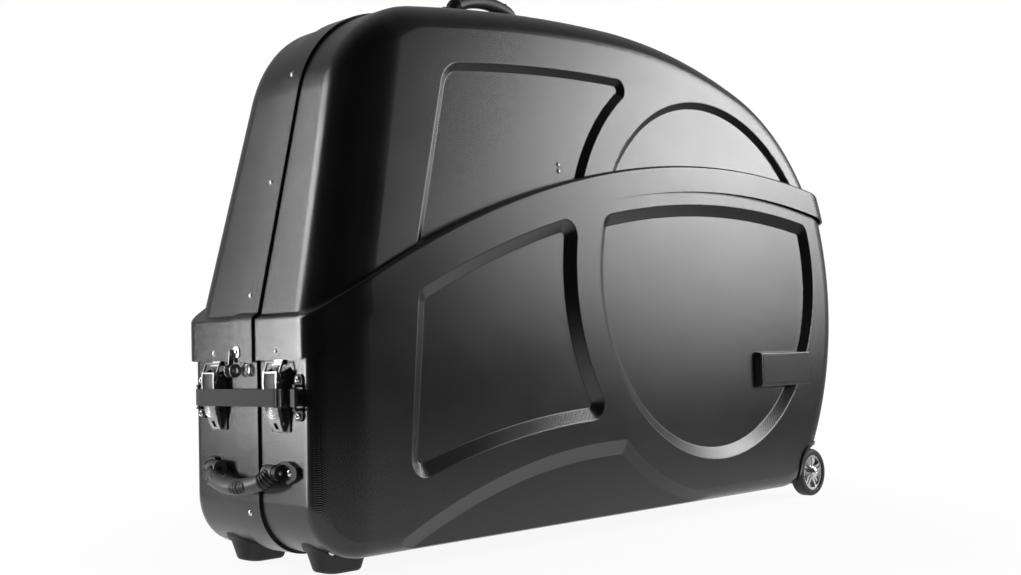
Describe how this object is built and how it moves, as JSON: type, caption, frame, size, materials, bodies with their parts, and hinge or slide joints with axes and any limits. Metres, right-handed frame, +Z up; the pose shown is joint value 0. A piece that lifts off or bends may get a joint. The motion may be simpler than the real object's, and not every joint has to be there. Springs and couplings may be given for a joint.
{
  "type": "bicycle travel case",
  "caption": "Hard-shell bicycle travel case: a deep tub with a lift-off lid, draw latches and safety straps at its ends, carry handles, wheels, and a rail with a fork mount inside.",
  "frame": {"origin": "on the ground, below the middle of the bounding box", "axes": "+X along the case towards its wheel end, +Z up, and -Y is the side shown in the picture"},
  "size_m": [1.4246, 0.36, 0.9402],
  "materials": {
    "textured_black_sheet": "fine woven grain with a satin sheen",
    "webbing": "woven",
    "tyre_rubber": "matt",
    "hub_silver": "satin",
    "bush_plastic": "matt",
    "foot_rubber": "matt",
    "pad_rubber": "matt",
    "grip_plastic": "satin",
    "black_plastic": "satin",
    "black_metal": "satin",
    "badge_plastic": "satin",
    "rail_metal": "satin",
    "plated_steel": "polished",
    "fastener_steel": "plain"
  },
  "bodies": {
    "tub": {"tub_near_shell": "textured_black_sheet", "tub_far_shell": "textured_black_sheet", "feet": "foot_rubber", "tub_seam_rivets": "fastener_steel", "tub_hardware_rivets": "fastener_steel", "front_latch_bases": "black_metal", "rear_latch_bases": "black_metal", "latch_pins": "fastener_steel", "strap_loops": "black_plastic", "tub_padlock_eye": "plated_steel", "front_handle_anchors": "black_plastic", "front_handle_pins": "fastener_steel", "front_handle_screws": "fastener_steel", "wheel_axle": "fastener_steel", "axle_carrier": "black_metal", "axle_fittings": "fastener_steel", "badge_plates": "badge_plastic", "base_rail": "rail_metal", "rail_bolts": "fastener_steel", "fork_mount": "rail_metal", "skewer_rod": "fastener_steel", "skewer_nut": "fastener_steel", "bracket_cradle": "rail_metal", "cradle_pad": "pad_rubber"},
    "lid": {"lid_near_shell": "textured_black_sheet", "lid_far_shell": "textured_black_sheet", "lid_seam_rivets": "fastener_steel", "lid_panel_rivets": "fastener_steel", "skirt_rivets": "fastener_steel", "latch_keepers": "plated_steel", "lid_padlock_eye": "plated_steel", "top_handle_anchors": "black_plastic", "top_handle_pins": "fastener_steel", "top_handle_screws": "fastener_steel"},
    "front_strap_band": {"front_strap": "webbing", "front_strap_hook": "black_plastic"},
    "front_near_latch_arm": {"front_near_latch_lever": "plated_steel", "front_near_latch_bail_pin": "fastener_steel"},
    "front_near_latch_loop": {"front_near_latch_bail": "plated_steel"},
    "front_far_latch_arm": {"front_far_latch_lever": "plated_steel", "front_far_latch_bail_pin": "fastener_steel"},
    "front_far_latch_loop": {"front_far_latch_bail": "plated_steel"},
    "rear_strap_band": {"rear_strap": "webbing", "rear_strap_hook": "black_plastic"},
    "rear_near_latch_arm": {"rear_near_latch_lever": "plated_steel", "rear_near_latch_bail_pin": "fastener_steel"},
    "rear_near_latch_loop": {"rear_near_latch_bail": "plated_steel"},
    "rear_far_latch_arm": {"rear_far_latch_lever": "plated_steel", "rear_far_latch_bail_pin": "fastener_steel"},
    "rear_far_latch_loop": {"rear_far_latch_bail": "plated_steel"},
    "front_grip": {"front_handle_grip": "grip_plastic"},
    "top_grip": {"top_handle_grip": "grip_plastic"},
    "near_wheel": {"near_wheel_tyre": "tyre_rubber", "near_wheel_hub": "hub_silver", "near_wheel_bush": "bush_plastic"},
    "far_wheel": {"far_wheel_tyre": "tyre_rubber", "far_wheel_hub": "hub_silver", "far_wheel_bush": "bush_plastic"},
    "quick_release": {"skewer_lever": "plated_steel"}
  },
  "joints": [
    {"name": "lid_lift", "type": "slide", "parent": "tub", "child": "lid", "axis": [0, 0, 1], "range_m": [0, 0.32]},
    {"name": "front_strap_swing", "type": "hinge", "parent": "tub", "child": "front_strap_band", "pos_m": [-0.67882, 0.124, 0.25591], "axis": [0, 0, -1], "range_deg": [0, 137]},
    {"name": "front_near_latch_lever_swing", "type": "hinge", "parent": "tub", "child": "front_near_latch_arm", "pos_m": [-0.68082, -0.08, 0.28791], "axis": [0, 1, 0], "range_deg": [0, 97]},
    {"name": "front_near_latch_bail_swing", "type": "hinge", "parent": "front_near_latch_arm", "child": "front_near_latch_loop", "pos_m": [-0.68582, -0.08, 0.27791], "axis": [0, 1, 0], "range_deg": [-126, 0]},
    {"name": "front_far_latch_lever_swing", "type": "hinge", "parent": "tub", "child": "front_far_latch_arm", "pos_m": [-0.68082, 0.08, 0.28791], "axis": [0, 1, 0], "range_deg": [0, 97]},
    {"name": "front_far_latch_bail_swing", "type": "hinge", "parent": "front_far_latch_arm", "child": "front_far_latch_loop", "pos_m": [-0.68582, 0.08, 0.27791], "axis": [0, 1, 0], "range_deg": [-126, 0]},
    {"name": "rear_strap_swing", "type": "hinge", "parent": "tub", "child": "rear_strap_band", "pos_m": [0.69544, -0.124, 0.51283], "axis": [0.2036, 0, -0.979], "range_deg": [0, 137]},
    {"name": "rear_near_latch_lever_swing", "type": "hinge", "parent": "tub", "child": "rear_near_latch_arm", "pos_m": [0.69088, -0.08, 0.54457], "axis": [0, -1, 0], "range_deg": [0, 97]},
    {"name": "rear_near_latch_bail_swing", "type": "hinge", "parent": "rear_near_latch_arm", "child": "rear_near_latch_loop", "pos_m": [0.69781, -0.08, 0.5358], "axis": [0, -1, 0], "range_deg": [-126, 0]},
    {"name": "rear_far_latch_lever_swing", "type": "hinge", "parent": "tub", "child": "rear_far_latch_arm", "pos_m": [0.69088, 0.08, 0.54457], "axis": [0, -1, 0], "range_deg": [0, 97]},
    {"name": "rear_far_latch_bail_swing", "type": "hinge", "parent": "rear_far_latch_arm", "child": "rear_far_latch_loop", "pos_m": [0.69781, 0.08, 0.5358], "axis": [0, -1, 0], "range_deg": [-126, 0]},
    {"name": "front_handle_swing", "type": "hinge", "parent": "tub", "child": "front_grip", "pos_m": [-0.68282, 0, 0.151], "axis": [0, 1, 0], "range_deg": [-28, 105]},
    {"name": "top_handle_swing", "type": "hinge", "parent": "lid", "child": "top_grip", "pos_m": [-0.17563, 0, 0.89995], "axis": [0.9981, 0, 0.0622], "range_deg": [-72, 72]},
    {"name": "near_wheel_spin", "type": "hinge", "parent": "tub", "child": "near_wheel", "pos_m": [0.58718, -0.15, 0.048], "axis": [0, 1, 0], "continuous": true},
    {"name": "far_wheel_spin", "type": "hinge", "parent": "tub", "child": "far_wheel", "pos_m": [0.58718, 0.15, 0.048], "axis": [0, 1, 0], "continuous": true},
    {"name": "skewer_lever_swing", "type": "hinge", "parent": "tub", "child": "quick_release", "pos_m": [-0.45782, 0.0574, 0.128], "axis": [-1, 0, 0], "range_deg": [0, 115]}
  ],
  "couplings": [
    {"joint": "front_near_latch_lever_swing", "follows": "front_strap_swing", "ratio": 0.7},
    {"joint": "front_near_latch_bail_swing", "follows": "front_strap_swing", "ratio": -0.91},
    {"joint": "front_far_latch_lever_swing", "follows": "front_strap_swing", "ratio": 0.7},
    {"joint": "front_far_latch_bail_swing", "follows": "front_strap_swing", "ratio": -0.91},
    {"joint": "rear_near_latch_lever_swing", "follows": "rear_strap_swing", "ratio": 0.7},
    {"joint": "rear_near_latch_bail_swing", "follows": "rear_strap_swing", "ratio": -0.91},
    {"joint": "rear_far_latch_lever_swing", "follows": "rear_strap_swing", "ratio": 0.7},
    {"joint": "rear_far_latch_bail_swing", "follows": "rear_strap_swing", "ratio": -0.91}
  ]
}
